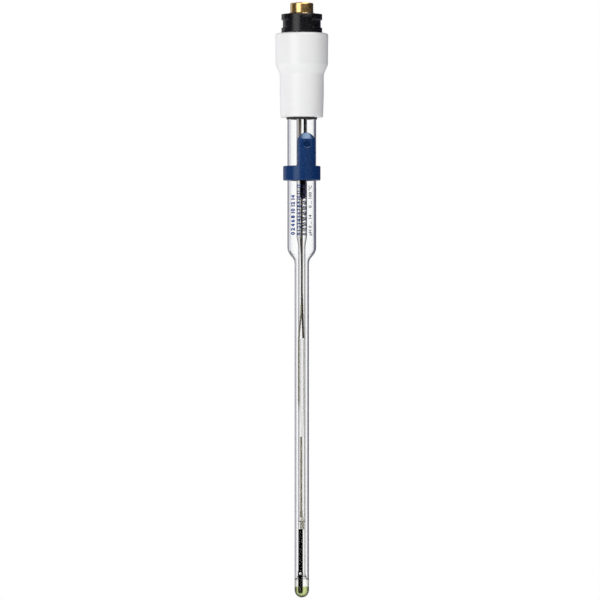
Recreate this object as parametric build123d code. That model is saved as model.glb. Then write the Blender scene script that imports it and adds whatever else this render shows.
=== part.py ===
from build123d import *
import os
from math import cos, radians, sin, tan

# A refillable glass pH electrode with a moulded head and a twist-lock plug.
# The origin is on the shaft's axis at the head's underside, the face from which the shaft's length
# is measured. +Z points up to the plug, and -Y is the front, where the refill hole and junction lie.
# Sizes are in millimetres. An angle round the shaft is measured from the front towards +X.

# Glass shaft, one blown tube with a wide refill chamber over a slim stem
shaft_length = 200.0
wide_diameter = 12.0
wide_wall = 1.0
narrow_diameter = 6.0
narrow_wall = 0.7
shoulder_depth = 56.1
shoulder_lean = 42.0
shoulder_round_top = 5.0
shoulder_round_bottom = 3.5
shaft_in_head = 15.0

# Inner tube, joined to the shaft by a fused ring just above the tip
inner_wide_diameter = 4.4
inner_gap = 0.8
inner_wall = 0.3
inner_taper_above_shoulder = 6.6
inner_taper_length = 4.0
inner_above_shaft = 3.0
inner_round = 3.0
flare_length = 1.6
flare_round = 0.6
flare_step = 0.75

# Tip
stem_length = 3.5
tip_length = 4.5
membrane_wall = 0.35

# Holes in the shaft
refill_hole_diameter = 3.0
refill_depth = 11.2
refill_angle = 18.0
junction_diameter = 1.1
junction_above_seal = 2.2
junction_angle = -14.5
bead_height = 3.1
bead_depth = 0.5

# Rubber cover that turns on the shaft to open the refill hole
cover_clearance = 0.05
cover_thickness = 1.75
cover_depth = 20.2
cover_height = 6.1
cover_round = 0.4
flap_width = 7.4
flap_inset = 0.04
flap_above_hole = 4.7
flap_bevel_height = 2.6
flap_bevel_depth = 1.3
dimple_diameter = 3.3
dimple_depth = 0.55

# Head cap, a thin-walled moulding
cap_height = 35.0
cap_top_diameter = 22.0
cap_waist_diameter = 21.8
cap_grip_diameter = 18.3
cap_foot_diameter = 17.7
cap_cone_top = 21.9
cap_cone_bottom = 18.0
cap_grip_bottom = 9.0
cap_wall = 1.8
cap_top_wall = 2.5
cap_foot_wall = 3.0
cap_top_round = 1.0
cap_foot_chamfer = 0.4
cap_blend = 2.0

# Gasket, stopper and resin that hold the glass in the head
glue_gap = 0.02
gasket_wall = 0.38
gasket_proud = 0.8
stopper_depth = 6.0
stopper_flange = 1.6
resin_height = 11.0

# Plug body, a ring with lugs at both sides and a plain land at the front and back
plug_height = 7.95
plug_core_diameter = 15.8
land_diameter = 16.4
lug_diameter = 17.0
lug_height = 2.4
low_lug_height = 2.3
land_arc = 74.0
land_angle = -5.0
hub_diameter = 12.4
hub_top_diameter = 10.4
hub_height = 0.6
spigot_diameter = 14.0
spigot_length = 6.0
snap_proud = 0.25
snap_height = 0.8

# Contacts of the plug
sleeve_diameter = 9.6
sleeve_wall = 1.4
sleeve_height = 4.1
sleeve_chamfer = 0.35
sleeve_neck = 0.25
sleeve_barrel = 0.4
sleeve_barrel_length = 6.0
sleeve_tail_length = 6.5
insulator_step = 0.6
boss_diameter = 4.8
boss_proud = 0.35
boss_chamfer = 0.2
socket_diameter = 2.0
socket_wall = 0.5
socket_depth = 7.0
socket_recess = 0.7
socket_tail_diameter = 1.6

# Leads in the head, and the sleeve and plug at the top of the inner tube
lead_diameter = 0.9
lead_straight = 0.3
lead_bend = 2.0
lead_sleeve_diameter = 1.1
lead_sleeve_gap = 0.05
lead_sleeve_depth = 26.0
sleeve_plug_diameter = 2.6
sleeve_plug_gap = 0.1
sleeve_plug_length = 7.6
sleeve_plug_chamfer = 0.5

# Lead-off parts, stacked up from the tip. Their radii and places off the axis are shares of the bore
rod_above_tip = 2.0
rod_length = 26.5
rod_chamfer = 0.4
rod_share = 0.625
rod_lean = -0.35
pad_length = 5.1
pad_share = 0.54
pad_lean = 0.08
strand_length = 33.4
strand_flare = 3.4
strand_share = 0.375
strand_lean = -0.17
capillary_length = 41.0
capillary_wall = 0.2
capillary_share = 0.54
capillary_lean = 0.08
wire_straight = 0.66
wire_share = 0.35
wire_lean = 0.5
long_bend = 40.0
buffer_below_pad = 1.6
meniscus_sag = 0.45

# Reference parts between the shaft and the inner tube
sheath_diameter = 1.2
sheath_gap = 0.39
sheath_angle = -13.6
sheath_depth = 24.0
reference_wire_diameter = 0.4
reference_gap = 0.08
reference_below_shoulder = 18.6
reference_neck = 3.0
reference_bend_length = 14.0
reference_length = 40.0
reference_point = 4.0
reference_top_angle = -6.0
reference_end_angle = -37.5

# Places that follow from the sizes
wide_radius = wide_diameter / 2
wide_bore = wide_radius - wide_wall
narrow_radius = narrow_diameter / 2
narrow_bore = narrow_radius - narrow_wall
shoulder_slope = tan(radians(shoulder_lean))
shoulder_half = tan(radians(shoulder_lean / 2))
shoulder_z = -shoulder_depth
narrow_z = shoulder_z - (wide_radius - narrow_radius) / shoulder_slope
inner_wide_radius = inner_wide_diameter / 2
inner_wide_bore = inner_wide_radius - inner_wall
inner_narrow_radius = narrow_bore - inner_gap
inner_bore = inner_narrow_radius - inner_wall
inner_top = shaft_in_head + inner_above_shaft
inner_taper_z = shoulder_z + inner_taper_above_shoulder
membrane_z = tip_length - shaft_length
seal_z = membrane_z + stem_length
junction_z = seal_z + junction_above_seal
cover_bore = wide_radius + cover_clearance
cover_radius = cover_bore + cover_thickness
cover_top = -cover_depth
cover_bottom = cover_top - cover_height
flap_top = flap_above_hole - refill_depth
cap_bore = wide_radius + gasket_wall + 2 * glue_gap
cap_inner_grip = cap_grip_diameter / 2 - cap_wall
cap_inner_waist = cap_waist_diameter / 2 - cap_wall
spigot_bore = spigot_diameter / 2 + glue_gap
stopper_top = shaft_in_head + stopper_flange
plug_top = cap_height + plug_height
hub_top = plug_top + hub_height
sleeve_radius = sleeve_diameter / 2
sleeve_bore = sleeve_radius - sleeve_wall
sleeve_top = hub_top + sleeve_height
sleeve_barrel_top = plug_top - sleeve_neck
sleeve_barrel_bottom = sleeve_barrel_top - sleeve_barrel_length
sleeve_tail_bottom = sleeve_barrel_bottom - sleeve_tail_length
socket_radius = socket_diameter / 2 + socket_wall
socket_top = sleeve_top + boss_proud - socket_recess
socket_bottom = socket_top - socket_depth - socket_wall
lead_sleeve_offset = inner_wide_bore - lead_sleeve_diameter / 2 - lead_sleeve_gap
sleeve_plug_offset = inner_wide_bore - sleeve_plug_diameter / 2 - sleeve_plug_gap
sleeve_plug_bottom = -lead_sleeve_depth - sleeve_plug_length
rod_bottom = rod_above_tip - shaft_length
rod_top = rod_bottom + rod_length
pad_top = rod_top + pad_length
strand_top = pad_top + strand_length
capillary_top = strand_top + capillary_length
buffer_top = pad_top - buffer_below_pad
wire_bend_z = sleeve_plug_bottom + wire_straight * (capillary_top - sleeve_plug_bottom)
sheath_reach = inner_wide_radius + sheath_gap + sheath_diameter / 2
sheath_side = sheath_reach * sin(radians(sheath_angle))
sheath_front = sheath_reach * cos(radians(sheath_angle))
reference_reach = inner_narrow_radius + inner_gap / 2
reference_top = narrow_z - reference_below_shoulder
reference_end = reference_top - reference_length


def turned(*corners, arc=360.0):
    # A closed outline of (radius, height, rounding of the corner), spun round the shaft's axis
    places = [(radius, height) for radius, height, _ in corners]
    roundings = [rounding for _, _, rounding in corners]
    outline = FilletPolyline(*places, radius=roundings, close=True)
    return revolve(Plane.XZ * make_face(outline), Axis.Z, revolution_arc=arc)


def ring(inner, outer, low, high):
    return turned((inner, low, 0), (outer, low, 0), (outer, high, 0), (inner, high, 0))


def post(radius, low, high, side=0.0, back=0.0):
    # An upright round bar between two heights
    return Pos(side, back, low) * Cylinder(radius, high - low, align=(Align.CENTER, Align.CENTER, Align.MIN))


def outward(angle, height):
    # A frame on the axis whose X runs sideways, Y up and Z out through the glass at this angle
    return Pos(0, 0, height) * Rot(0, 0, angle) * Rot(90, 0, 0)


def drill(angle, height, radius, start, end):
    # A round bar that points outward from the axis
    bar = Cylinder(radius, end - start, align=(Align.CENTER, Align.CENTER, Align.MIN))
    return outward(angle, height) * Pos(0, 0, start) * bar


def round_about(angle, radius, height):
    # The place at this angle from the front and this distance from the axis
    return (radius * sin(radians(angle)), -radius * cos(radians(angle)), height)


def wire(radius, bend, *places):
    # A round wire along straight runs joined by tangent arcs
    path = FilletPolyline(*places, radius=bend)
    section = Plane(origin=path @ 0, z_dir=path % 0) * Circle(radius)
    return sweep(section, path=path)


def outer_shaft():
    top_rise = wide_wall * shoulder_half
    bottom_rise = narrow_wall * shoulder_half
    glass = turned(
        (wide_radius, shaft_in_head, 0),
        (wide_radius, shoulder_z, shoulder_round_top),
        (narrow_radius, narrow_z, shoulder_round_bottom),
        (narrow_radius, seal_z, 0),
        (narrow_bore, seal_z, 0),
        (narrow_bore, narrow_z + bottom_rise, shoulder_round_bottom + narrow_wall),
        (wide_bore, shoulder_z + top_rise, shoulder_round_top - wide_wall),
        (wide_bore, shaft_in_head, 0),
    )
    glass += junction_bead()
    glass -= drill(refill_angle, -refill_depth, refill_hole_diameter / 2, inner_wide_radius, wide_diameter)
    junction_hole = junction_diameter / 2 + glue_gap
    return glass - drill(junction_angle, junction_z, junction_hole, inner_narrow_radius, narrow_diameter)


def junction_bead():
    # Where the pin is melted in, the glass stands into the shaft as a shallow lens
    half = bead_height / 2
    lens_radius = (half * half + bead_depth * bead_depth) / (2 * bead_depth)
    lens_reach = narrow_bore - bead_depth + lens_radius
    lens = outward(junction_angle, junction_z) * Pos(0, 0, lens_reach) * Sphere(lens_radius)
    return lens & post(narrow_bore + narrow_wall / 2, junction_z - bead_height, junction_z + bead_height)


def inner_tube():
    # Wide above, slim below, then flared out to the ring seal and down into the stem
    taper_bottom = inner_taper_z - inner_taper_length
    shelf = narrow_bore - glue_gap
    stem_bore = narrow_radius - membrane_wall
    return turned(
        (inner_wide_radius, inner_top, 0),
        (inner_wide_radius, inner_taper_z, inner_round),
        (inner_narrow_radius, taper_bottom, inner_round),
        (inner_narrow_radius, seal_z + flare_length, flare_round),
        (shelf, seal_z, 0),
        (narrow_radius, seal_z, 0),
        (narrow_radius, membrane_z, 0),
        (stem_bore, membrane_z, 0),
        (stem_bore, seal_z - flare_step, flare_round),
        (inner_bore, seal_z + flare_length - inner_wall, flare_round),
        (inner_bore, taper_bottom, inner_round),
        (inner_wide_bore, inner_taper_z, inner_round),
        (inner_wide_bore, inner_top, 0),
    )


def dome(radius, top, bottom):
    # A round-ended plug of the tube's bore, down to the tip
    return post(radius, bottom + radius, top) + Pos(0, 0, bottom + radius) * Sphere(radius)


def ph_membrane():
    tip_bore = narrow_radius - membrane_wall
    bulb = dome(narrow_radius, membrane_z, -shaft_length)
    return bulb - dome(tip_bore, membrane_z + stem_length, membrane_wall - shaft_length)


def ceramic_junction():
    pin = drill(junction_angle, junction_z, junction_diameter / 2, inner_narrow_radius, narrow_diameter)
    low = junction_z - junction_diameter
    high = junction_z + junction_diameter
    return pin & ring(narrow_bore - bead_depth, narrow_radius, low, high)


def refill_cover():
    # A collar with a flap that stands up over the refill hole, moulded in one
    collar = turned(
        (cover_bore, cover_bottom, 0),
        (cover_radius, cover_bottom, cover_round),
        (cover_radius, cover_top, cover_round),
        (cover_bore, cover_top, 0),
    )
    crest = flap_top + flap_bevel_height / 4
    root = (cover_bottom + cover_top) / 2
    inside = cover_bore + flap_inset
    outside = cover_radius - flap_inset
    wall = turned(
        (inside, root, 0),
        (outside, root, 0),
        (outside, flap_top - flap_bevel_height, cover_round),
        (outside - 1.25 * flap_bevel_depth, crest, 0),
        (inside, crest, 0),
    )
    arch = flap_width / 2
    arch_z = flap_top - arch
    shank = Pos(0, (arch_z + cover_bottom) / 2) * Rectangle(flap_width, arch_z - cover_bottom)
    outline = shank + Pos(0, arch_z) * Circle(arch)
    flap = wall & extrude(outward(refill_angle, 0) * outline, 2 * cover_radius)
    cover = collar + flap
    dimple_start = cover_radius - dimple_depth
    return cover - drill(refill_angle, -refill_depth, dimple_diameter / 2, dimple_start, cover_radius * 2)


def head_cap():
    grip = cap_grip_diameter / 2
    foot = cap_foot_diameter / 2
    return turned(
        (cap_bore, 0, 0),
        (foot - cap_foot_chamfer, 0, 0),
        (foot, cap_foot_chamfer, 0),
        (grip, cap_grip_bottom, 0),
        (grip, cap_cone_bottom, cap_blend),
        (cap_waist_diameter / 2, cap_cone_top, cap_blend),
        (cap_top_diameter / 2, cap_height, cap_top_round),
        (spigot_bore, cap_height, 0),
        (spigot_bore, cap_height - cap_top_wall, 0),
        (cap_inner_waist, cap_height - cap_top_wall, 0),
        (cap_inner_waist, cap_cone_top, 0),
        (cap_inner_grip, cap_cone_bottom, 0),
        (cap_inner_grip, cap_foot_wall, 0),
        (cap_bore, cap_foot_wall, 0),
    )


def shaft_gasket():
    return ring(wide_radius + glue_gap, cap_bore - glue_gap, -gasket_proud, cap_foot_wall)


def potting_resin():
    resin_top = cap_foot_wall + resin_height
    return ring(wide_radius + glue_gap, cap_inner_grip - glue_gap, cap_foot_wall, resin_top)


def tube_stopper():
    # A soft bung in the shaft's mouth, with a bore for the inner tube and one for the reference sheath
    bore = inner_wide_radius + glue_gap
    plug = wide_bore - glue_gap
    bung = turned(
        (bore, shaft_in_head - stopper_depth, 0),
        (plug, shaft_in_head - stopper_depth, 0),
        (plug, shaft_in_head, 0),
        (wide_radius, shaft_in_head, 0),
        (wide_radius, stopper_top, 0),
        (bore, stopper_top, 0),
    )
    sheath_hole = sheath_diameter / 2 + glue_gap
    return bung - post(sheath_hole, shaft_in_head - stopper_depth, stopper_top, sheath_side, -sheath_front)


def connector_body():
    # The core with its hub and spigot, then two lands and two pairs of lugs round it
    core_radius = plug_core_diameter / 2
    spigot = spigot_diameter / 2
    spigot_bottom = cap_height - spigot_length
    snap_top = cap_height - cap_top_wall - glue_gap
    barrel_bore = sleeve_radius + sleeve_barrel + glue_gap
    neck_bore = sleeve_radius - sleeve_neck + glue_gap
    body = turned(
        (barrel_bore, spigot_bottom, 0),
        (spigot - snap_proud, spigot_bottom, 0),
        (spigot, spigot_bottom + snap_height, 0),
        (spigot, snap_top - snap_height, 0),
        (spigot + snap_proud, snap_top - snap_proud, 0),
        (spigot + snap_proud, snap_top, 0),
        (spigot, snap_top, 0),
        (spigot, cap_height, 0),
        (core_radius, cap_height, 0),
        (core_radius, plug_top, 0),
        (hub_diameter / 2, plug_top, 0),
        (hub_top_diameter / 2, hub_top, 0),
        (neck_bore, hub_top, 0),
        (neck_bore, sleeve_barrel_top + glue_gap, 0),
        (barrel_bore, sleeve_barrel_top + glue_gap, 0),
    )
    lug_arc = 180.0 - land_arc
    land = raised_band(land_diameter / 2, cap_height, plug_top, land_arc)
    high_lug = raised_band(lug_diameter / 2, plug_top - lug_height, plug_top, lug_arc)
    low_lug = raised_band(lug_diameter / 2, cap_height, cap_height + low_lug_height, lug_arc)
    for side in (0.0, 180.0):
        body += Rot(0, 0, side + land_angle - 90) * land
        for lug in (high_lug, low_lug):
            body += Rot(0, 0, side + land_angle) * lug
    return body


def raised_band(radius, low, high, arc):
    # Part of a ring that stands on the plug's core, centred on +X
    root = plug_core_diameter / 2 - lug_height / 4
    band = turned((root, low, 0), (radius, low, 0), (radius, high, 0), (root, high, 0), arc=arc)
    return Rot(0, 0, -arc / 2) * band


def contact_sleeve():
    # Waisted under its exposed end and thicker below, so that the body moulded round it holds it
    neck = sleeve_radius - sleeve_neck
    barrel = sleeve_radius + sleeve_barrel
    return turned(
        (sleeve_bore, sleeve_tail_bottom, 0),
        (neck, sleeve_tail_bottom, 0),
        (neck, sleeve_barrel_bottom, 0),
        (barrel, sleeve_barrel_bottom, 0),
        (barrel, sleeve_barrel_top, 0),
        (neck, sleeve_barrel_top, 0),
        (neck, hub_top + glue_gap, 0),
        (sleeve_radius, hub_top + glue_gap, 0),
        (sleeve_radius, sleeve_top - sleeve_chamfer, 0),
        (sleeve_radius - sleeve_chamfer, sleeve_top, 0),
        (sleeve_bore, sleeve_top, 0),
    )


def contact_insulator():
    bore = socket_radius + glue_gap
    rim = sleeve_bore - glue_gap
    boss = boss_diameter / 2
    boss_top = sleeve_top + boss_proud
    return turned(
        (bore, socket_bottom, 0),
        (rim, socket_bottom, 0),
        (rim, sleeve_top - insulator_step, 0),
        (boss, sleeve_top - insulator_step, 0),
        (boss, boss_top - boss_chamfer, 0),
        (boss - boss_chamfer, boss_top, 0),
        (bore, boss_top, 0),
    )


def centre_contact():
    socket = post(socket_radius, socket_bottom, socket_top)
    tail = post(socket_tail_diameter / 2, sleeve_tail_bottom, socket_bottom)
    return socket + tail - post(socket_diameter / 2, socket_top - socket_depth, socket_top)


def centre_lead():
    straight = lead_straight * (sleeve_tail_bottom - inner_top)
    return wire(
        lead_diameter / 2,
        lead_bend,
        (0, 0, sleeve_tail_bottom),
        (0, 0, sleeve_tail_bottom - straight),
        (lead_sleeve_offset, 0, inner_top + straight),
        (lead_sleeve_offset, 0, shaft_in_head),
    )


def shield_lead():
    tail_middle = (sleeve_bore + sleeve_radius - sleeve_neck) / 2
    straight = lead_straight * (sleeve_tail_bottom - stopper_top)
    return wire(
        lead_diameter / 2,
        lead_bend,
        (-tail_middle, 0, sleeve_tail_bottom),
        (-tail_middle, 0, sleeve_tail_bottom - straight),
        (sheath_side, -sheath_front, stopper_top + straight),
        (sheath_side, -sheath_front, stopper_top),
    )


def reference_sheath():
    return post(sheath_diameter / 2, -sheath_depth, stopper_top, sheath_side, -sheath_front)


def reference_wire():
    # Down the refill chamber, then in beside the slim part of the inner tube
    narrow_start = narrow_z + shoulder_round_bottom / 2
    return wire(
        reference_wire_diameter / 2,
        long_bend,
        (sheath_side, -sheath_front, -sheath_depth),
        (sheath_side, -sheath_front, inner_taper_z),
        round_about(reference_top_angle, reference_reach, narrow_start),
        round_about(reference_top_angle, reference_reach, reference_top),
    )


def reference_cartridge():
    # A fine tube in the gap between shaft and inner tube, drawn out to a point below
    radius = inner_gap / 2 - reference_gap
    bar = wire(
        radius,
        long_bend,
        round_about(reference_top_angle, reference_reach, reference_top),
        round_about(reference_top_angle, reference_reach, reference_top - reference_neck),
        round_about(reference_end_angle, reference_reach, reference_top - reference_bend_length),
        round_about(reference_end_angle, reference_reach, reference_end),
    )
    tip = Cone(radius / 2, radius, reference_point, align=(Align.CENTER, Align.CENTER, Align.MAX))
    return bar + Pos(*round_about(reference_end_angle, reference_reach, reference_end)) * tip


def lead_sleeve():
    return post(lead_sleeve_diameter / 2, -lead_sleeve_depth, shaft_in_head, lead_sleeve_offset)


def sleeve_plug():
    radius = sleeve_plug_diameter / 2
    top = -lead_sleeve_depth
    plug = turned(
        (0, sleeve_plug_bottom, 0),
        (radius - sleeve_plug_chamfer, sleeve_plug_bottom, 0),
        (radius, sleeve_plug_bottom + sleeve_plug_chamfer, 0),
        (radius, top - sleeve_plug_chamfer, 0),
        (radius - sleeve_plug_chamfer, top, 0),
        (0, top, 0),
    )
    return Pos(sleeve_plug_offset, 0, 0) * plug


def lead_off_wire():
    return wire(
        wire_share * inner_bore,
        long_bend,
        (0, 0, sleeve_plug_bottom),
        (0, 0, wire_bend_z),
        (wire_lean * inner_bore, 0, capillary_top + 2 * glue_gap),
    )


def lead_off_capillary():
    # A fine glass tube, round at its top and drawn in at its open foot
    radius = capillary_share * inner_bore
    bore = radius - capillary_wall
    foot = strand_share * inner_bore
    draw = strand_top + capillary_length / 3
    tube = turned(
        (0, capillary_top, 0),
        (radius, capillary_top, radius * 0.9),
        (radius, draw, 0),
        (foot, strand_top, 0),
        (foot / 2, strand_top, 0),
        (bore, draw, 0),
        (bore, capillary_top - radius, 0),
        (0, capillary_top - radius, 0),
    )
    return Pos(capillary_lean * inner_bore, 0, 0) * tube


def lead_off_strand():
    strand = turned(
        (0, strand_top, 0),
        (strand_share * inner_bore, strand_top, 0),
        (strand_share * inner_bore, pad_top + strand_flare, 0),
        (pad_share * inner_bore, pad_top, 0),
        (0, pad_top, 0),
    )
    return Pos(strand_lean * inner_bore, 0, 0) * strand


def lead_off_pad(gap=0.0):
    return post(pad_share * inner_bore + gap, rod_top, pad_top, pad_lean * inner_bore)


def lead_off_rod():
    radius = rod_share * inner_bore
    rod = turned(
        (0, rod_bottom, 0),
        (radius - rod_chamfer, rod_bottom, 0),
        (radius, rod_bottom + rod_chamfer, 0),
        (radius, rod_top, 0),
        (0, rod_top, 0),
    )
    return Pos(rod_lean * inner_bore, 0, 0) * rod


def inner_buffer():
    # The liquid round the lead-off parts, from its hollow surface down into the membrane
    bore = inner_bore - glue_gap
    tip_bore = narrow_radius - membrane_wall - glue_gap
    flare_top = seal_z + flare_length - inner_wall
    surface_radius = (bore * bore + meniscus_sag * meniscus_sag) / (2 * meniscus_sag)
    liquid = turned(
        (0, membrane_z, 0),
        (tip_bore, membrane_z, 0),
        (tip_bore, seal_z - flare_step, flare_round),
        (bore, flare_top, flare_round),
        (bore, buffer_top, 0),
        (0, buffer_top, 0),
    )
    liquid += dome(tip_bore, membrane_z, membrane_wall + glue_gap - shaft_length)
    liquid -= Pos(0, 0, buffer_top - meniscus_sag + surface_radius) * Sphere(surface_radius)
    rod_radius = rod_share * inner_bore + glue_gap
    rod_space = post(rod_radius, rod_bottom - glue_gap, rod_top, rod_lean * inner_bore)
    return liquid - lead_off_pad(glue_gap) - rod_space


pieces = {
    "head_cap": head_cap,
    "connector_body": connector_body,
    "contact_sleeve": contact_sleeve,
    "contact_insulator": contact_insulator,
    "centre_contact": centre_contact,
    "centre_lead": centre_lead,
    "shield_lead": shield_lead,
    "shaft_gasket": shaft_gasket,
    "potting_resin": potting_resin,
    "tube_stopper": tube_stopper,
    "outer_shaft": outer_shaft,
    "inner_tube": inner_tube,
    "ph_membrane": ph_membrane,
    "ceramic_junction": ceramic_junction,
    "refill_cover": refill_cover,
    "reference_sheath": reference_sheath,
    "reference_wire": reference_wire,
    "reference_cartridge": reference_cartridge,
    "lead_sleeve": lead_sleeve,
    "sleeve_plug": sleeve_plug,
    "lead_off_wire": lead_off_wire,
    "lead_off_capillary": lead_off_capillary,
    "lead_off_strand": lead_off_strand,
    "lead_off_pad": lead_off_pad,
    "lead_off_rod": lead_off_rod,
    "inner_buffer": inner_buffer,
}

os.makedirs("parts", exist_ok=True)
for name, make in pieces.items():
    export_step(make(), f"parts/{name}.step")
    print("wrote", name)
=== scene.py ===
from math import asin, cos, pi, radians, sin, tan

import bmesh
import bpy
from mathutils import Matrix, Vector


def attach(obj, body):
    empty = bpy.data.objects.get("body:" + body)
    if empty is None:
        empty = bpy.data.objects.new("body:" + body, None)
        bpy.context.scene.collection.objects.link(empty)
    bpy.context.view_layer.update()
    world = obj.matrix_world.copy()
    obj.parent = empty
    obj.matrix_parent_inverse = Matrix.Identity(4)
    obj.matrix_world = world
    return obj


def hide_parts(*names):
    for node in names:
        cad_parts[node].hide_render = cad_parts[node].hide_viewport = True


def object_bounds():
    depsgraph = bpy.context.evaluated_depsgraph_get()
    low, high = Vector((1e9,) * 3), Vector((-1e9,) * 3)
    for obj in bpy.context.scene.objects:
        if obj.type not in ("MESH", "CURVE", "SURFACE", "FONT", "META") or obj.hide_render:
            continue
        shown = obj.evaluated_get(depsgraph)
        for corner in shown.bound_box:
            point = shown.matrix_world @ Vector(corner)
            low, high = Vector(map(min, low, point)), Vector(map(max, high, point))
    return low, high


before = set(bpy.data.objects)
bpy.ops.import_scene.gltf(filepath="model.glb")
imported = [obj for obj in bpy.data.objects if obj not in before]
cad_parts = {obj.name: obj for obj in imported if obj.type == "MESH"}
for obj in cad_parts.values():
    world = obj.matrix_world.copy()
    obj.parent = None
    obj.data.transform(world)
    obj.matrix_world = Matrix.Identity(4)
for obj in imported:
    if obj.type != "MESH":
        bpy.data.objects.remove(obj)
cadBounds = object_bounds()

# A glass pH electrode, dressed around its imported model. Sizes in the dictionaries are in
# millimetres; an angle round the shaft is measured from the front (-Y) towards +X.
mm = 0.001
turnSteps = 144
mergeGap = 0.0005
edgeAngle = 40  # a bend of more than this many degrees is shaded as an edge
scene = bpy.context.scene
scene.view_settings.view_transform = "Standard"


def shadeSmooth(data, angle=edgeAngle):
    data.polygons.foreach_set("use_smooth", [True] * len(data.polygons))
    data.set_sharp_from_angle(angle=radians(angle))


def placeMesh(name, mesh):
    # Turns a finished bmesh into a smooth-shaded object at the origin
    data = bpy.data.meshes.new(name)
    mesh.to_mesh(data)
    mesh.free()
    shadeSmooth(data)
    piece = bpy.data.objects.new(name, data)
    scene.collection.objects.link(piece)
    return piece


def applyModifiers(piece, angle=edgeAngle):
    graph = bpy.context.evaluated_depsgraph_get()
    done = bpy.data.meshes.new_from_object(piece.evaluated_get(graph))
    piece.modifiers.clear()
    piece.data = done
    shadeSmooth(done, angle)


def spunMesh(corners, closed=True, steps=turnSteps, segments=6):
    # An outline of (radius, height, rounding) corners, drawn in the XZ plane and spun round the axis
    mesh = bmesh.new()
    points = [mesh.verts.new((radius * mm, 0, height * mm)) for radius, height, _ in corners]
    for start, end in zip(points, points[1:]):
        mesh.edges.new((start, end))
    if closed:
        mesh.edges.new((points[-1], points[0]))
    for index, (radius, height, rounding) in enumerate(corners):
        if not rounding:
            continue
        here = Vector((radius, height))
        before = Vector(corners[index - 1][:2]) - here
        after = Vector(corners[(index + 1) % len(corners)][:2]) - here
        turn = pi - before.angle(after)
        bmesh.ops.bevel(
            mesh, geom=[points[index]], offset=rounding * tan(turn / 2) * mm, offset_type="OFFSET",
            segments=segments, profile=0.5, affect="VERTICES", material=-1,
        )
    bmesh.ops.spin(
        mesh, geom=mesh.verts[:] + mesh.edges[:], cent=(0, 0, 0), axis=(0, 0, 1), dvec=(0, 0, 0),
        angle=2 * pi, steps=steps, use_merge=True, use_duplicate=False,
    )
    bmesh.ops.remove_doubles(mesh, verts=mesh.verts[:], dist=mergeGap * mm)
    bmesh.ops.recalc_face_normals(mesh, faces=mesh.faces[:])
    return mesh


def spunPiece(name, corners, **settings):
    return placeMesh(name, spunMesh(corners, **settings))


def outwardMatrix(angle, height, reach=0):
    # Maps local +Z to the direction out through the glass at this angle, from this far off the axis
    return (
        Matrix.Translation((0, 0, height * mm)) @ Matrix.Rotation(radians(angle), 4, "Z")
        @ Matrix.Rotation(radians(90), 4, "X") @ Matrix.Translation((0, 0, reach * mm))
    )


def cutHole(piece, angle, height, radius, start, end):
    # Drills a round hole outward, from one distance off the axis to another
    cutter = bmesh.new()
    bmesh.ops.create_cone(
        cutter, cap_ends=True, segments=48, radius1=radius * mm, radius2=radius * mm,
        depth=(end - start) * mm, matrix=outwardMatrix(angle, height, (start + end) / 2),
    )
    tool = placeMesh("holeTool", cutter)
    hole = piece.modifiers.new("hole", "BOOLEAN")
    hole.operation = "DIFFERENCE"
    hole.solver = "EXACT"
    hole.object = tool
    applyModifiers(piece)
    bpy.data.objects.remove(tool)


def dress(piece, finish, body, slot, *nodes):
    # Gives a piece its finish and its body, and hides the CAD nodes that it stands for; slot is not used
    piece.data.materials.clear()
    piece.data.materials.append(finish)
    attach(piece, body)
    for node in nodes:
        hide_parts(node)


# The node helpers below work on a material and on the world, which both own a node tree
def addNode(owner, kind, **settings):
    node = owner.node_tree.nodes.new(kind)
    for setting, value in settings.items():
        setattr(node, setting, value)
    return node


def join(owner, output, target):
    owner.node_tree.links.new(output, target)


def feed(owner, value, socket):
    # A plain number is set on the socket itself, and a node's output is linked to it
    if isinstance(value, float):
        socket.default_value = (value, value, value, 1) if socket.type == "RGBA" else value
    else:
        join(owner, value, socket)


def addMaths(owner, operation, *values):
    step = addNode(owner, "ShaderNodeMath", operation=operation)
    for value, socket in zip(values, step.inputs):
        feed(owner, value, socket)
    return step.outputs["Value"]


def addRange(owner, value, low, high, newLow, newHigh, curve="LINEAR"):
    remap = addNode(owner, "ShaderNodeMapRange", interpolation_type=curve)
    for socket, number in (("From Min", low), ("From Max", high), ("To Min", newLow), ("To Max", newHigh)):
        remap.inputs[socket].default_value = number
    feed(owner, value, remap.inputs["Value"])
    return remap.outputs["Result"]


def addRamp(owner, factor, stops):
    # Stops are (position, colour)
    ramp = addNode(owner, "ShaderNodeValToRGB")
    elements = ramp.color_ramp.elements
    while len(elements) < len(stops):
        elements.new(0.5)  # anywhere between the two ends, until the loop below places it
    for element, (position, colour) in zip(elements, stops):
        element.position = position
        element.color = (*colour, 1)
    join(owner, factor, ramp.inputs["Fac"])
    return ramp.outputs["Color"]


def addMix(owner, factor, first, second, blend="MIX"):
    # Colours are the seventh and eighth sockets of a Mix node
    pick = addNode(owner, "ShaderNodeMix", data_type="RGBA", blend_type=blend)
    feed(owner, factor, pick.inputs["Factor"])
    feed(owner, first, pick.inputs[6])
    feed(owner, second, pick.inputs[7])
    return pick.outputs[2]


def newFinish(name, roughness, **sockets):
    # A Principled material; values that are the same all over are set on its own sockets
    finish = bpy.data.materials.new(name)
    finish.use_nodes = True
    shader = shaderOf(finish)
    shader.inputs["Roughness"].default_value = roughness
    for socket, value in sockets.items():
        shader.inputs[socket.replace("_", " ")].default_value = value
    return finish


def shaderOf(finish):
    return finish.node_tree.nodes["Principled BSDF"]


grain = dict(detail=3.0, colourSpan=(0.35, 0.65), glossSpan=(0.3, 0.7))


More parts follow.
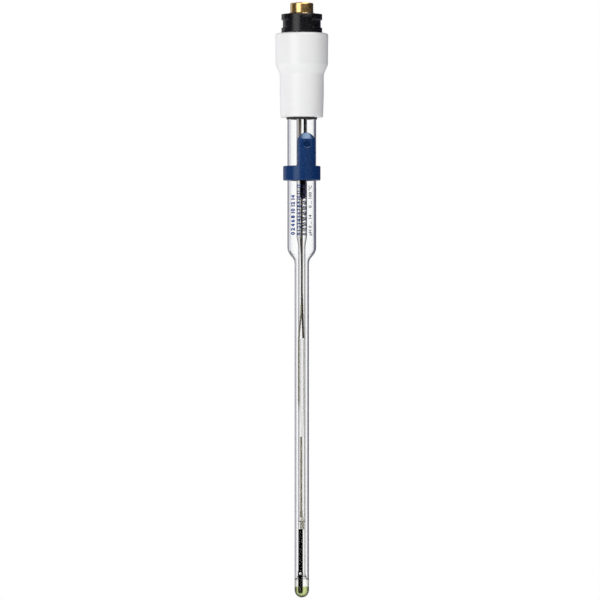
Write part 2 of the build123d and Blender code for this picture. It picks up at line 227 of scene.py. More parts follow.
def addGrain(finish, scale, stretch):
    # Noise on Object coordinates, so that it stays with the piece
    place = addNode(finish, "ShaderNodeTexCoord")
    mapping = addNode(finish, "ShaderNodeMapping")
    mapping.inputs["Scale"].default_value = stretch
    noise = addNode(finish, "ShaderNodeTexNoise")
    noise.inputs["Scale"].default_value = scale
    noise.inputs["Detail"].default_value = grain["detail"]
    join(finish, place.outputs["Object"], mapping.inputs["Vector"])
    join(finish, mapping.outputs["Vector"], noise.inputs["Vector"])
    return noise.outputs["Fac"]


def addBump(finish, height, strength, distance):
    bump = addNode(finish, "ShaderNodeBump")
    bump.inputs["Strength"].default_value = strength
    bump.inputs["Distance"].default_value = distance * mm
    join(finish, height, bump.inputs["Height"])
    join(finish, bump.outputs["Normal"], shaderOf(finish).inputs["Normal"])


def grainyFinish(
    name, dark, light, roughness, scale, stretch=(1, 1, 1), bump=0.1, depth=0.05, gloss=0.08, **sockets,
):
    # Two near colours mixed by noise, with the same noise in the gloss and the bump
    finish = newFinish(name, roughness, **sockets)
    noise = addGrain(finish, scale, stretch)
    tone = addRamp(finish, noise, list(zip(grain["colourSpan"], (dark, light))))
    dullness = addRange(finish, noise, *grain["glossSpan"], roughness - gloss, roughness + gloss)
    join(finish, tone, shaderOf(finish).inputs["Base Color"])
    join(finish, dullness, shaderOf(finish).inputs["Roughness"])
    if bump:
        addBump(finish, noise, bump, depth)
    return finish


def glassFinish(name, middle, edge, ior, edgeStart, edgeEnd, shine):
    # Clear when faced; seen at a glancing angle its colour turns dark, a painted shade at the rims that
    # stands in for the dark surroundings glass shows there
    finish = newFinish(
        name, 0.0, IOR=ior, Specular_Tint=(shine, shine, shine, 1), Transmission_Weight=1.0,
    )
    facing = addNode(finish, "ShaderNodeLayerWeight").outputs["Facing"]
    paintedEdgeColour = addRamp(finish, facing, [(edgeStart, middle), (edgeEnd, edge)])
    join(finish, paintedEdgeColour, shaderOf(finish).inputs["Base Color"])
    return finish


# Scale is the fineness of the noise, per metre. What a finish leaves out is as in grainyFinish
grainyFinishes = {
    "headWhite": dict(
        dark=(0.878, 0.878, 0.881), light=(0.884, 0.884, 0.884), roughness=0.30, scale=500,
        bump=0.005, depth=0.01, gloss=0.02,
    ),
    "plugBlack": dict(
        dark=(0.002, 0.002, 0.003), light=(0.005, 0.005, 0.007), roughness=0.27, scale=1400,
        bump=0.03, depth=0.03, IOR=1.42,
    ),
    "contactBrass": dict(
        dark=(0.80, 0.49, 0.17), light=(0.93, 0.62, 0.27), roughness=0.26, scale=500,
        stretch=(1, 1, 8), bump=0.05, depth=0.02, gloss=0.05, Metallic=1.0,
    ),
    "insulatorCream": dict(
        dark=(0.62, 0.56, 0.42), light=(0.74, 0.69, 0.56), roughness=0.5, scale=900,
    ),
    "leadTan": dict(
        dark=(0.13, 0.11, 0.08), light=(0.22, 0.19, 0.145), roughness=0.6, scale=700,
        stretch=(1, 1, 0.2),
    ),
    "gasketBlack": dict(
        dark=(0.008, 0.008, 0.009), light=(0.02, 0.02, 0.02), roughness=0.6, scale=900,
    ),
    "resinGrey": dict(
        dark=(0.34, 0.34, 0.32), light=(0.42, 0.42, 0.4), roughness=0.3, scale=300,
    ),
    "stopperGrey": dict(
        dark=(0.30, 0.30, 0.30), light=(0.38, 0.38, 0.38), roughness=0.6, scale=500,
    ),
    "ceramicWhite": dict(
        dark=(0.74, 0.72, 0.68), light=(0.88, 0.87, 0.84), roughness=0.7, scale=4000,
        bump=0.3, depth=0.03,
    ),
    "coverBlue": dict(
        dark=(0.002, 0.027, 0.122), light=(0.003, 0.033, 0.143), roughness=0.28, scale=1100,
        bump=0.03, depth=0.03, gloss=0.03, IOR=1.45, Specular_Tint=(0.68, 0.88, 1.0, 1),
    ),
    "silverWire": dict(
        dark=(0.30, 0.29, 0.27), light=(0.5, 0.48, 0.45), roughness=0.35, scale=2500,
        stretch=(1, 1, 0.1), Metallic=1.0,
    ),
    "cartridgeOlive": dict(
        dark=(0.16, 0.14, 0.09), light=(0.28, 0.25, 0.17), roughness=0.35, scale=900,
        stretch=(1, 1, 0.15), bump=0.2,
    ),
    "sleeveBlack": dict(
        dark=(0.003, 0.003, 0.003), light=(0.008, 0.008, 0.008), roughness=0.6, scale=900,
        bump=0.2, Specular_IOR_Level=0.2,
    ),
    "wireBrown": dict(
        dark=(0.058, 0.043, 0.027), light=(0.11, 0.086, 0.057), roughness=0.6, scale=900,
        stretch=(1, 1, 0.12), depth=0.03,
    ),
    "strandTan": dict(
        dark=(0.38, 0.33, 0.24), light=(0.52, 0.46, 0.34), roughness=0.6, scale=1500,
        stretch=(1, 1, 0.08), depth=0.03,
    ),
    "padCream": dict(
        dark=(0.92, 0.90, 0.74), light=(0.97, 0.96, 0.85), roughness=0.7, scale=1200,
        stretch=(1, 1, 0.3),
    ),
    "rodBlack": dict(
        dark=(0.026, 0.026, 0.026), light=(0.048, 0.048, 0.05), roughness=0.5, scale=1600,
        stretch=(1, 1, 0.15), bump=0.05, depth=0.03, IOR=1.25,
    ),
}
# The colour goes from middle to edge as the surface turns away; edge is a painted shade for the dark rims,
# and shine scales the reflections
clearFinishes = {
    "clearGlass": dict(
        middle=(0.985, 0.988, 0.99), edge=(0.70, 0.68, 0.82), ior=1.47,
        edgeStart=0.5, edgeEnd=0.9, shine=0.1,
    ),
    "innerGlass": dict(
        middle=(0.985, 0.985, 0.985), edge=(0.46, 0.44, 0.44), ior=1.47,
        edgeStart=0.12, edgeEnd=0.5, shine=0.03,
    ),
    "capillaryGlass": dict(
        middle=(0.99, 0.985, 0.97), edge=(0.06, 0.05, 0.04), ior=1.12,
        edgeStart=0.3, edgeEnd=0.6, shine=0.05,
    ),
    "beadGlass": dict(
        middle=(0.8, 0.8, 0.8), edge=(0.0, 0.0, 0.0), ior=1.47,
        edgeStart=0.05, edgeEnd=0.25, shine=0.0,
    ),
    "membraneGlass": dict(
        middle=(0.76, 0.82, 0.54), edge=(0.03, 0.04, 0.01), ior=1.5,
        edgeStart=0.1, edgeEnd=0.45, shine=0.4,
    ),
    "bufferLiquid": dict(
        middle=(0.99, 0.99, 0.96), edge=(0.16, 0.13, 0.11), ior=1.333,
        edgeStart=0.2, edgeEnd=0.65, shine=0.03,
    ),
}
finishes = {}
for name, settings in grainyFinishes.items():
    finishes[name] = grainyFinish(name, **settings)
for name, settings in clearFinishes.items():
    finishes[name] = glassFinish(name, **settings)
print("finishes made:", len(finishes))


# Lean is the shoulder's angle from upright. Extra rings of corners stand ringGap from the refill
# hole and above the pin, so that the long walls keep their flat faces
shaft = dict(
    radius=6.0, bore=5.0, slimRadius=3.0, slimBore=2.3, top=15.0, shoulder=-56.1, slimTop=-59.432,
    seal=-192.0, lean=42.0, rim=0.35, roundTop=5.0, roundBottom=3.5, boreRoundTop=4.0, boreRoundBottom=4.2,
    holeAngle=18.0, holeHeight=-11.2, holeRadius=1.5, holeStart=3.0, holeEnd=9.0, ringGap=3,
)
junction = dict(angle=-14.5, height=-189.8, radius=0.55, inner=1.8, outer=3.0, edge=0.08, crown=0.03)


def makeOuterShaft():
    slope = tan(radians(shaft["lean"] / 2))
    boreShoulder = shaft["shoulder"] + (shaft["radius"] - shaft["bore"]) * slope
    boreSlim = shaft["slimTop"] + (shaft["slimRadius"] - shaft["slimBore"]) * slope
    aboveHole, belowHole = shaft["holeHeight"] + shaft["ringGap"], shaft["holeHeight"] - shaft["ringGap"]
    abovePin = junction["height"] + shaft["ringGap"]
    piece = spunPiece("shaftGlass", [
        (shaft["radius"], shaft["top"], shaft["rim"]),
        (shaft["radius"], aboveHole, 0),
        (shaft["radius"], belowHole, 0),
        (shaft["radius"], shaft["shoulder"], shaft["roundTop"]),
        (shaft["slimRadius"], shaft["slimTop"], shaft["roundBottom"]),
        (shaft["slimRadius"], abovePin, 0),
        (shaft["slimRadius"], shaft["seal"], 0),
        (shaft["slimBore"], shaft["seal"], 0),
        (shaft["slimBore"], abovePin, 0),
        (shaft["slimBore"], boreSlim, shaft["boreRoundBottom"]),
        (shaft["bore"], boreShoulder, shaft["boreRoundTop"]),
        (shaft["bore"], belowHole, 0),
        (shaft["bore"], aboveHole, 0),
        (shaft["bore"], shaft["top"], shaft["rim"]),
    ], segments=16)
    cutHole(
        piece, shaft["holeAngle"], shaft["holeHeight"], shaft["holeRadius"],
        shaft["holeStart"], shaft["holeEnd"],
    )
    return piece


def makeJunctionPin():
    mesh = spunMesh([
        (0, junction["inner"], 0),
        (junction["radius"], junction["inner"], junction["edge"]),
        (junction["radius"], junction["outer"] - junction["crown"], junction["edge"]),
        (0, junction["outer"], 0),
    ], closed=False, steps=48)
    outward = outwardMatrix(junction["angle"], junction["height"])
    bmesh.ops.transform(mesh, verts=mesh.verts[:], matrix=outward)
    return placeMesh("junctionPin", mesh)


# Belly is where the lens turns, as shares of its half height and its depth
bead = dict(height=3.1, width=2.45, depth=0.5, belly=(0.62, 0.72), rounding=0.6, rise=0.06, bite=0.05)


def makeJunctionBead():
    # The shallow lens of glass that the pin is melted into, seen through the wall
    half, depth = bead["height"] / 2, bead["depth"]
    across, down = bead["belly"]
    mesh = spunMesh([
        (0, -depth, 0),
        (half * across, -depth * down, bead["rounding"]),
        (half, bead["rise"], 0),
        (0, bead["rise"], 0),
    ], closed=False, steps=64, segments=8)
    bmesh.ops.scale(mesh, verts=mesh.verts[:], vec=(bead["width"] / bead["height"], 1, 1))
    outward = outwardMatrix(junction["angle"], junction["height"], shaft["slimBore"])
    bmesh.ops.transform(mesh, verts=mesh.verts[:], matrix=outward)
    limit = (shaft["slimBore"] + bead["bite"]) * mm  # its flat side follows the round wall
    for corner in mesh.verts:
        reach = corner.co.xy.length
        if reach > limit:
            corner.co.x *= limit / reach
            corner.co.y *= limit / reach
    return placeMesh("junctionBead", mesh)


inner = dict(
    wide=2.2, slim=1.5, wall=0.3, top=18.0, rim=0.12, taperTop=-49.5, taperFoot=-53.5, taperRound=3.0,
    flareTop=-190.4, flareRound=0.6, flareStep=0.75, shelf=2.28, seal=-192.0,
    stemRadius=3.0, stemWall=0.35, stemFoot=-195.5,
)


def makeInnerTube():
    wall = inner["wall"]
    stemBore = inner["stemRadius"] - inner["stemWall"]
    return spunPiece("innerTubeGlass", [
        (inner["wide"], inner["top"], inner["rim"]),
        (inner["wide"], inner["taperTop"], inner["taperRound"]),
        (inner["slim"], inner["taperFoot"], inner["taperRound"]),
        (inner["slim"], inner["flareTop"], inner["flareRound"]),
        (inner["shelf"], inner["seal"], 0),
        (inner["stemRadius"], inner["seal"], 0),
        (inner["stemRadius"], inner["stemFoot"], 0),
        (stemBore, inner["stemFoot"], 0),
        (stemBore, inner["seal"] - inner["flareStep"], inner["flareRound"]),
        (inner["slim"] - wall, inner["flareTop"] - wall, inner["flareRound"]),
        (inner["slim"] - wall, inner["taperFoot"], inner["taperRound"]),
        (inner["wide"] - wall, inner["taperTop"], inner["taperRound"]),
        (inner["wide"] - wall, inner["top"], inner["rim"]),
    ], segments=12)


membrane = dict(radius=3.0, wall=0.35, top=-195.5, tip=-200.0, roundShare=0.998)


def makeMembrane():
    # A straight skirt and a round end, one wall thick
    radius, bore, tip = membrane["radius"], membrane["radius"] - membrane["wall"], membrane["tip"]
    return spunPiece("membraneGlass", [
        (0, tip, 0),
        (radius, tip, radius * membrane["roundShare"]),
        (radius, membrane["top"], 0),
        (bore, membrane["top"], 0),
        (bore, tip + membrane["wall"], bore * membrane["roundShare"]),
        (0, tip + membrane["wall"], 0),
    ], closed=False, segments=28)


buffer = dict(overlap=0.03, surface=-168.0, sag=0.42, rimShare=0.86, rimRise=0.05, rimRound=0.25)


def makeBuffer():
    # A hair wider than the bore, so that light passes from glass to liquid with no air between
    overlap = buffer["overlap"]
    bore = inner["slim"] - inner["wall"] + overlap
    stemBore = inner["stemRadius"] - inner["stemWall"] + overlap
    tip = membrane["tip"] + membrane["wall"] - overlap
    sag = buffer["surface"] - buffer["sag"]
    return spunPiece("bufferLiquid", [
        (0, tip, 0),
        (stemBore, tip, stemBore * membrane["roundShare"]),
        (stemBore, inner["seal"] - inner["flareStep"], inner["flareRound"]),
        (bore, inner["flareTop"] - inner["wall"], inner["flareRound"]),
        (bore, buffer["surface"], 0),
        (bore * buffer["rimShare"], sag + buffer["rimRise"], buffer["rimRound"]),
        (0, sag, 0),
    ], closed=False, segments=20)


dress(makeOuterShaft(), finishes["clearGlass"], "electrode", "clear_glass", "outer_shaft")
dress(makeInnerTube(), finishes["innerGlass"], "electrode", "clear_glass", "inner_tube")
dress(makeMembrane(), finishes["membraneGlass"], "electrode", "membrane_glass", "ph_membrane")
dress(makeBuffer(), finishes["bufferLiquid"], "electrode", "buffer_liquid", "inner_buffer")
dress(makeJunctionBead(), finishes["beadGlass"], "electrode", "clear_glass")
dress(makeJunctionPin(), finishes["ceramicWhite"], "electrode", "ceramic_white", "ceramic_junction")
print("glass made")


head = dict(
    top=35.0, topRadius=11.0, waist=10.9, grip=9.15, foot=8.85, coneTop=21.9, coneFoot=18.0, gripFoot=9.0,
    bore=6.42, mouth=7.02, wall=1.8, topWall=2.5, footWall=3.0,
    boreEdge=0.1, footEdge=0.5, topEdge=0.9, coneRound=2.0, insideEdge=0.5, insideRound=1.0,
)


def makeHead():
    insideWaist, insideGrip = head["waist"] - head["wall"], head["grip"] - head["wall"]
    return spunPiece("headShell", [
        (head["bore"], 0, head["boreEdge"]),
        (head["foot"], 0, head["footEdge"]),
        (head["grip"], head["gripFoot"], 0),
        (head["grip"], head["coneFoot"], head["coneRound"]),
        (head["waist"], head["coneTop"], head["coneRound"]),
        (head["topRadius"], head["top"], head["topEdge"]),
        (head["mouth"], head["top"], head["boreEdge"]),
        (head["mouth"], head["top"] - head["topWall"], 0),
        (insideWaist, head["top"] - head["topWall"], head["insideEdge"]),
        (insideWaist, head["coneTop"], head["insideRound"]),
        (insideGrip, head["coneFoot"], head["insideRound"]),
        (insideGrip, head["footWall"], 0),
        (head["bore"], head["footWall"], 0),
    ], segments=8)


# The core's wall is raised into a land at front and back, and into two lugs at each side. The faces
# that are raised may be offCore from its radius and lean by slant
plug = dict(
    core=7.9, foot=35.0, top=42.95, land=8.2, lug=8.5, lowLug=37.3, highLug=40.55, landArc=74, landAngle=-5,
    hub=6.2, hubTop=5.2, hubHeight=43.55, hubEdge=0.2, spigot=7.0, spigotFoot=29.0, snap=0.25, neckBore=4.57,
    barrelBore=5.22, barrelTop=42.72, edge=0.1, edgeSegments=2, stepsRound=180,
    offCore=0.02, slant=0.1,
)


def faceAngle(face):
    # The angle round the axis of a face's middle, from the front towards +X, in degrees
    return Vector((0, -1)).angle_signed(face.calc_center_median().xy) * -180 / pi


def raiseBand(mesh, low, high, middles, arc, radius):
    # Pulls part of the core's wall outward into a land or a lug
    chosen = []
    for face in mesh.faces:
        middle = face.calc_center_median()
        onCore = abs(middle.xy.length / mm - plug["core"]) < plug["offCore"]
        inBand = low < middle.z / mm < high and abs(face.normal.z) < plug["slant"]
        inArc = any(abs((faceAngle(face) - angle + 180) % 360 - 180) < arc / 2 for angle in middles)
        if onCore and inBand and inArc:
            chosen.append(face)
    raised = bmesh.ops.extrude_face_region(mesh, geom=chosen)
    corners = [item for item in raised["geom"] if isinstance(item, bmesh.types.BMVert)]
    bmesh.ops.delete(mesh, geom=chosen, context="FACES_ONLY")
    grow = radius / plug["core"]
    bmesh.ops.scale(mesh, vec=(grow, grow, 1), verts=corners)


def makePlug():
    mesh = spunMesh([
        (plug["barrelBore"], plug["spigotFoot"], 0),
        (plug["spigot"], plug["spigotFoot"], plug["snap"]),
        (plug["spigot"], plug["foot"], 0),
        (plug["core"], plug["foot"], 0),
        (plug["core"], plug["lowLug"], 0),
        (plug["core"], plug["highLug"], 0),
        (plug["core"], plug["top"], 0),
        (plug["hub"], plug["top"], 0),
        (plug["hubTop"], plug["hubHeight"], plug["hubEdge"]),
        (plug["neckBore"], plug["hubHeight"], 0),
        (plug["neckBore"], plug["barrelTop"], 0),
        (plug["barrelBore"], plug["barrelTop"], 0),
    ], steps=plug["stepsRound"])
    landAngle, lugArc = plug["landAngle"], 180 - plug["landArc"]
    lands, lugs = (landAngle, landAngle + 180), (landAngle + 90, landAngle - 90)
    raiseBand(mesh, plug["foot"], plug["top"], lands, plug["landArc"], plug["land"])
    raiseBand(mesh, plug["foot"], plug["lowLug"], lugs, lugArc, plug["lug"])
    raiseBand(mesh, plug["highLug"], plug["top"], lugs, lugArc, plug["lug"])
    bmesh.ops.recalc_face_normals(mesh, faces=mesh.faces[:])
    piece = placeMesh("plugBody", mesh)
    soften = piece.modifiers.new("edges", "BEVEL")
    soften.width = plug["edge"] * mm
    soften.segments = plug["edgeSegments"]
    soften.limit_method = "ANGLE"
    soften.angle_limit = radians(edgeAngle)
    applyModifiers(piece)
    return piece


contact = dict(
    radius=4.8, bore=3.4, top=47.65, foot=43.57, neck=4.55, tail=30.2, barrel=5.2, barrelTop=42.7,
    barrelFoot=36.7, tailEdge=0.1, footEdge=0.08, topRound=0.42, boreEdge=0.2,
)


def makeContact():
    return spunPiece("brassSleeve", [
        (contact["bore"], contact["tail"], 0),
        (contact["neck"], contact["tail"], contact["tailEdge"]),
        (contact["neck"], contact["barrelFoot"], 0),
        (contact["barrel"], contact["barrelFoot"], 0),
        (contact["barrel"], contact["barrelTop"], 0),
        (contact["neck"], contact["barrelTop"], 0),
        (contact["neck"], contact["foot"], 0),
        (contact["radius"], contact["foot"], contact["footEdge"]),
        (contact["radius"], contact["top"], contact["topRound"]),
        (contact["bore"], contact["top"], contact["boreEdge"]),
    ], segments=8)


insulator = dict(
    bore=1.52, rim=3.38, foot=39.8, step=47.05, boss=2.4, top=48.0, stepEdge=0.08, topEdge=0.2, boreEdge=0.15,
)


def makeInsulator():
    return spunPiece("socketInsulator", [
        (insulator["bore"], insulator["foot"], 0),
        (insulator["rim"], insulator["foot"], 0),
        (insulator["rim"], insulator["step"], insulator["stepEdge"]),
        (insulator["boss"], insulator["step"], insulator["stepEdge"]),
        (insulator["boss"], insulator["top"], insulator["topEdge"]),
        (insulator["bore"], insulator["top"], insulator["boreEdge"]),
    ])


gasket = dict(inner=6.02, outer=6.4, foot=-0.8, top=3.0, innerEdge=0.08, outerEdge=0.15)


def makeGasket():
    return spunPiece("shaftGasket", [
        (gasket["inner"], gasket["foot"], gasket["innerEdge"]),
        (gasket["outer"], gasket["foot"], gasket["outerEdge"]),
        (gasket["outer"], gasket["top"], 0),
        (gasket["inner"], gasket["top"], 0),
    ])


dress(makeHead(), finishes["headWhite"], "electrode", "head_white", "head_cap")
dress(makePlug(), finishes["plugBlack"], "electrode", "plug_black", "connector_body")
dress(makeContact(), finishes["contactBrass"], "electrode", "contact_brass", "contact_sleeve")
dress(makeInsulator(), finishes["insulatorCream"], "electrode", "insulator_cream", "contact_insulator")
dress(makeGasket(), finishes["gasketBlack"], "electrode", "gasket_black", "shaft_gasket")
print("head and plug made")


cover = dict(mergeGap=0.001, voxel=0.12, rounds=2, factor=0.5)


def makeCover():
    # The moulded rubber collar and flap, a merged copy of the CAD's with every edge worn soft
    mesh = bmesh.new()
    mesh.from_mesh(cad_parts["refill_cover"].data)
    bmesh.ops.remove_doubles(mesh, verts=mesh.verts[:], dist=cover["mergeGap"] * mm)
    piece = placeMesh("refillCover", mesh)
    remesh = piece.modifiers.new("voxels", "REMESH")
    remesh.mode = "VOXEL"
    remesh.voxel_size = cover["voxel"] * mm
    soften = piece.modifiers.new("soften", "SMOOTH")
    soften.factor = cover["factor"]
    soften.iterations = cover["rounds"]
    applyModifiers(piece, 180)
    return piece


# Flatten shrinks distances along the mark's axis, so that only the distance from the axis counts. The mark's
# colour is darkened as a painted shade for its recess
dimple = dict(angle=18, height=-11.2, radius=1.65, fade=0.2, paintedShade=0.7, polish=0.12, flatten=1000)


def paintDimpleShade(finish):
    # Painted shade: the round mark in the flap has its colour darkened, standing in for the shade in its
    # recess, and it is smoother than the rubber round it
    colour, roughness = (shaderOf(finish).inputs[socket] for socket in ("Base Color", "Roughness"))
    place = addNode(finish, "ShaderNodeTexCoord")
    turn = addNode(finish, "ShaderNodeMapping", vector_type="TEXTURE")
    turn.inputs["Location"].default_value = (0, 0, dimple["height"] * mm)
    turn.inputs["Rotation"].default_value = (0, 0, radians(dimple["angle"]))
    turn.inputs["Scale"].default_value = (1, dimple["flatten"], 1)
    reach = addNode(finish, "ShaderNodeVectorMath", operation="LENGTH")
    join(finish, place.outputs["Object"], turn.inputs["Vector"])
    join(finish, turn.outputs["Vector"], reach.inputs[0])
    fadeStart, fadeEnd = (dimple["radius"] - dimple["fade"]) * mm, dimple["radius"] * mm
    inside = addRange(finish, reach.outputs["Value"], fadeStart, fadeEnd, 1, 0)
    paintedShadeColour = addMix(finish, inside, colour.links[0].from_socket, dimple["paintedShade"], "MULTIPLY")
    smoother = addMaths(finish, "MULTIPLY_ADD", inside, -dimple["polish"], roughness.links[0].from_socket)
    join(finish, paintedShadeColour, colour)
    join(finish, smoother, roughness)


paintDimpleShade(finishes["coverBlue"])
dress(makeCover(), finishes["coverBlue"], "cover", "cover_blue", "refill_cover")
print("cover made")


inks = dict(
    printBlue=((0.003, 0.032, 0.20), (0.006, 0.045, 0.27)),
    printSlate=((0.02, 0.05, 0.17), (0.04, 0.08, 0.23)),
    printDark=((0.004, 0.005, 0.03), (0.012, 0.012, 0.06)),
    printGrey=((0.035, 0.04, 0.07), (0.06, 0.07, 0.11)),
)
inkGrain = dict(roughness=0.6, scale=2500, bump=0, IOR=1.3)
marks = dict(radius=6.005, lift=0.02, fineness=3, axisPixel=301.8, pixelsPerMm=2.4)
# Middle is where a column stands across the photograph, in pixels; low and high are heights
columns = [
    dict(
        text="0 2 4 6 8 10 12 14", ink="printBlue",
        size=2.6, middle=292.8, bold=0.15, low=-49.0, high=-32.4,
    ),
    dict(
        text="0 1 2 3 4 5 6 7 8 9 10 11 12", ink="printSlate",
        size=2.2, middle=298.7, bold=0.12, low=-49.2, high=-28.0,
    ),
    dict(
        text="0 10 20 30 40 50 60 70 80 90", ink="printDark",
        size=2.1, middle=304.7, bold=0.12, low=-49.2, high=-28.0,
    ),
    dict(
        text="pH 0 ... 14     0 ... 100 \u00b0C", ink="printGrey",
        size=2.1, middle=310.5, bold=0.05, low=-49.2, high=-28.4,
    ),
]


def makeLetters(column):
    # Flat letters with a little depth, as one merged mesh
    curve = bpy.data.curves.new("marks", "FONT")
    curve.body = column["text"]
    curve.size = column["size"] * mm
    curve.offset = column["bold"] * mm
    curve.extrude = marks["lift"] / 2 * mm
    curve.resolution_u = marks["fineness"]
    letters = bpy.data.objects.new("marks", curve)
    scene.collection.objects.link(letters)
    bpy.context.view_layer.update()
    graph = bpy.context.evaluated_depsgraph_get()
    flat = bpy.data.meshes.new_from_object(letters.evaluated_get(graph))
    bpy.data.objects.remove(letters)
    mesh = bmesh.new()
    mesh.from_mesh(flat)
    bmesh.ops.remove_doubles(mesh, verts=mesh.verts[:], dist=mergeGap * mm)
    return mesh


def makeColumn(name, column):
    # Numerals that read upwards, laid round the glass
    mesh = makeLetters(column)
    left = min(corner.co.x for corner in mesh.verts)
    length = max(corner.co.x for corner in mesh.verts) - left
    foot = min(corner.co.y for corner in mesh.verts)
    height = max(corner.co.y for corner in mesh.verts) - foot
    sideways = (column["middle"] - marks["axisPixel"]) / marks["pixelsPerMm"]
    angle = asin(sideways / marks["radius"])
    rise = (column["high"] - column["low"]) * mm
    for corner in mesh.verts:
        along = (corner.co.x - left) / length * rise
        across = angle - (corner.co.y - foot - height / 2) / (marks["radius"] * mm)
        reach = (marks["radius"] + marks["lift"] / 2) * mm + corner.co.z
        corner.co = (reach * sin(across), -reach * cos(across), column["low"] * mm + along)
    bmesh.ops.recalc_face_normals(mesh, faces=mesh.faces[:])
    return placeMesh(name, mesh)


for name, (dark, light) in inks.items():
    finishes[name] = grainyFinish(name, dark, light, **inkGrain)
for number, column in enumerate(columns, 1):
    dress(makeColumn(f"glassMarks{number}", column), finishes[column["ink"]], "electrode", "cover_blue")
print("marks made")


# The CAD nodes that keep their own mesh, each with its finish
kept = {
    "centre_contact": "contactBrass",
    "centre_lead": "leadTan",
    "shield_lead": "leadTan",
    "potting_resin": "resinGrey",
    "tube_stopper": "stopperGrey",
    "reference_sheath": "leadTan",
    "reference_wire": "silverWire",
    "reference_cartridge": "cartridgeOlive",
    "lead_sleeve": "sleeveBlack",
    "sleeve_plug": "sleeveBlack",
    "lead_off_wire": "wireBrown",
    "lead_off_capillary": "capillaryGlass",
    "lead_off_strand": "strandTan",
    "lead_off_pad": "padCream",
    "lead_off_rod": "rodBlack",
}
for node, finish in kept.items():
    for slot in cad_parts[node].material_slots:
        slot.material = finishes[finish]
print("kept nodes dressed:", len(kept))


# The studio is in metres and watts. Angle goes round the object from the front, and shows says
# where a lamp is seen
studioMiddle = (0, 0, -0.07)
lamps = dict(
    keyLamp=dict(angle=-33, lift=10, distance=1.2, size=(0.8, 1.6), power=9.8, shows="all"),
    topLamp=dict(angle=36, lift=50, distance=1.1, size=(0.95, 0.5), power=20.0, shows="gloss"),
    frontFill=dict(angle=40, lift=5, distance=1.6, size=(1.6, 1.6), power=13.2, shows="fill"),
    leftFill=dict(angle=-108, lift=5, distance=1.6, size=(1.6, 1.6), power=12.5, shows="fill"),
    rightFill=dict(angle=115, lift=5, distance=1.6, size=(1.6, 1.6), power=0.8, shows="fill"),
)


def softbox(name, angle, lift, distance, size, power, shows):
    # An area lamp that faces the object. A fill lamp doesn't show in gloss, a gloss lamp lights
    # only that, and no lamp is seen through glass
    data = bpy.data.lights.new(name, "AREA")
    data.shape = "RECTANGLE"
    data.size, data.size_y = size
    data.energy = power
    lamp = bpy.data.objects.new(name, data)
    scene.collection.objects.link(lamp)
    flat = cos(radians(lift))
    way = Vector((flat * sin(radians(angle)), -flat * cos(radians(angle)), sin(radians(lift))))
    lamp.location = Vector(studioMiddle) + way * distance
    lamp.rotation_euler = way.to_track_quat("Z", "Y").to_euler()
    lamp.visible_camera = False
    lamp.visible_diffuse = shows != "gloss"
    lamp.visible_glossy = shows != "fill"
    lamp.visible_transmission = False


for name, settings in lamps.items():
    softbox(name, **settings)


# Shine is the share of the floor that is plain white, and turnedLoss is what is taken from it
# for light that glass has turned back
ground = dict(drop=0.36, radius=3.0, paint=(0.9, 0.9, 0.9, 1), roughness=0.8, shine=0.92, turnedLoss=0.9)


def makeFloor():
    mesh = bmesh.new()
    drop = Matrix.Translation((0, 0, cadBounds[0].z - ground["drop"]))
    bmesh.ops.create_circle(mesh, cap_ends=True, segments=96, radius=ground["radius"], matrix=drop)
    return placeMesh("studioFloor", mesh)


def makeFloorFinish():
    # White where it is seen, also in gloss and through glass, but dim to light that glass has turned back
    finish = newFinish("floorPale", ground["roughness"], Base_Color=ground["paint"])
    path = addNode(finish, "ShaderNodeLightPath").outputs
    seen = addMaths(finish, "MAXIMUM", path["Is Camera Ray"], path["Is Glossy Ray"])
    seen = addMaths(finish, "MAXIMUM", seen, path["Is Transmission Ray"])
    wasGlossy = addMaths(finish, "GREATER_THAN", path["Glossy Depth"], 0.5)
    turned = addMaths(finish, "MULTIPLY", wasGlossy, path["Is Transmission Ray"])
    loss = addMaths(finish, "MULTIPLY", turned, ground["turnedLoss"])
    shine = addNode(finish, "ShaderNodeEmission")
    shine.inputs["Color"].default_value = (1, 1, 1, 1)
    join(finish, addMaths(finish, "SUBTRACT", 1.0, loss), shine.inputs["Strength"])
    blend = addNode(finish, "ShaderNodeMixShader")
    join(finish, addMaths(finish, "MULTIPLY", seen, ground["shine"]), blend.inputs["Fac"])
    join(finish, shaderOf(finish).outputs["BSDF"], blend.inputs[1])
    join(finish, shine.outputs["Emission"], blend.inputs[2])
    join(finish, blend.outputs["Shader"], finish.node_tree.nodes["Material Output"].inputs["Surface"])
    return finish


floor = makeFloor()
floor.data.materials.append(makeFloorFinish())


# Behind is the colour from left (-1) to right (1), as gloss sees it. Front and above are greys that
# take its place there. Through is what glass shows, dimmed at the sides and high up, turned is the
# right side for light that glass has turned back, and inside is what lights the leads in the tube.
# Each pair is where one gives way to the next
room = dict(
    behind=[
        (-1.0, (0.10, 0.10, 0.11)), (-0.93, (0.15, 0.15, 0.16)), (-0.85, (0.70, 0.71, 0.77)),
        (-0.63, (0.76, 0.77, 0.83)), (-0.54, (0.26, 0.26, 0.275)), (-0.08, (0.25, 0.25, 0.265)),
        (-0.03, (0.95, 0.95, 0.97)), (0.03, (1.0, 1.0, 1.0)), (0.09, (0.10, 0.10, 0.18)),
        (0.24, (0.05, 0.055, 0.12)), (0.75, (0.05, 0.055, 0.10)), (0.9, (0.02, 0.02, 0.03)),
    ],
    front=0.03, frontToBack=(-0.25, 0.2), above=0.2, levelToAbove=(0.45, 0.85),
    throughSide=0.85, middleToSide=(0.3, 0.6), throughHigh=0.15, levelToHigh=(0.25, 0.5),
    turnedRight=0.5, turnedToRight=(0.6, 0.72), inside=1.1,
)


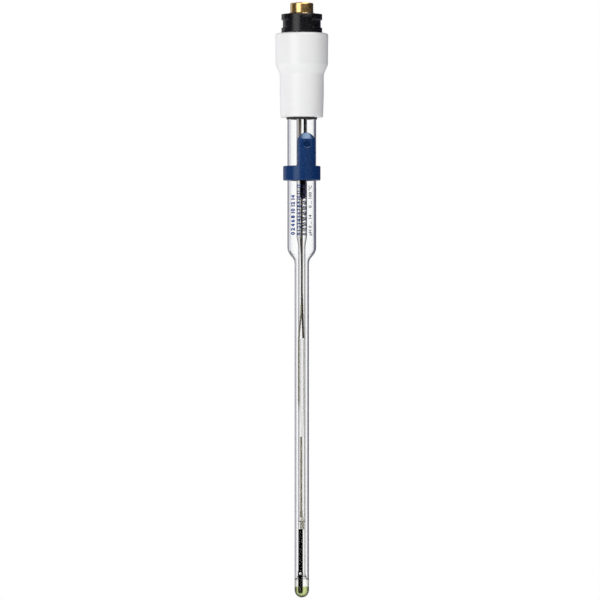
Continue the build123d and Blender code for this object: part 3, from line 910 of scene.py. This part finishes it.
def makeWorld():
    # White to the camera. Gloss sees a bright left and a dim right, and glass sees white behind it
    world = bpy.data.worlds.new("studioRoom")
    world.use_nodes = True
    scene.world = world
    sky = world.node_tree.nodes["Background"]
    sky.inputs["Strength"].default_value = 1.0

    def fade(value, ends, low, high):
        return addRange(world, value, *ends, low, high, "SMOOTHSTEP")

    place = addNode(world, "ShaderNodeTexCoord")
    parts = addNode(world, "ShaderNodeSeparateXYZ")
    join(world, place.outputs["Generated"], parts.inputs["Vector"])
    toRight, toBack, toTop = parts.outputs["X"], parts.outputs["Y"], parts.outputs["Z"]
    path = addNode(world, "ShaderNodeLightPath").outputs

    stops = [(across / 2 + 0.5, colour) for across, colour in room["behind"]]
    behind = addRamp(world, addRange(world, toRight, -1, 1, 0, 1), stops)
    gloss = addMix(world, fade(toBack, room["frontToBack"], 0, 1), room["front"], behind)
    gloss = addMix(world, fade(toTop, room["levelToAbove"], 0, 1), gloss, room["above"])

    aside = addMaths(world, "ABSOLUTE", toRight)
    dimSides = fade(aside, room["middleToSide"], 1, room["throughSide"])
    through = addMaths(world, "MULTIPLY", dimSides, fade(toTop, room["levelToHigh"], 1, room["throughHigh"]))
    turned = addMix(world, fade(toRight, room["turnedToRight"], 0, 1), gloss, room["turnedRight"])
    wasGlossy = addMaths(world, "GREATER_THAN", path["Glossy Depth"], 0.5)
    wasDiffuse = addMaths(world, "GREATER_THAN", path["Diffuse Depth"], 0.5)
    fromGlass = addMix(world, wasDiffuse, addMix(world, wasGlossy, through, turned), room["inside"])
    light = addMix(world, path["Is Transmission Ray"], gloss, fromGlass)
    light = addMix(world, path["Is Camera Ray"], light, 1.0)
    join(world, light, sky.inputs["Color"])


makeWorld()
print("studio made")


view = dict(place=(-0.75, -1600.0, -76.04), frameHeight=250.0, sensor=36.0)
cameraData = bpy.data.cameras.new("camera")
cameraData.sensor_width = view["sensor"]
cameraData.lens = cameraData.sensor_width * -view["place"][1] / view["frameHeight"]
camera = bpy.data.objects.new("camera", cameraData)
scene.collection.objects.link(camera)
camera.location = Vector(view["place"]) * mm
camera.rotation_euler = (radians(90), 0, 0)
scene.camera = camera
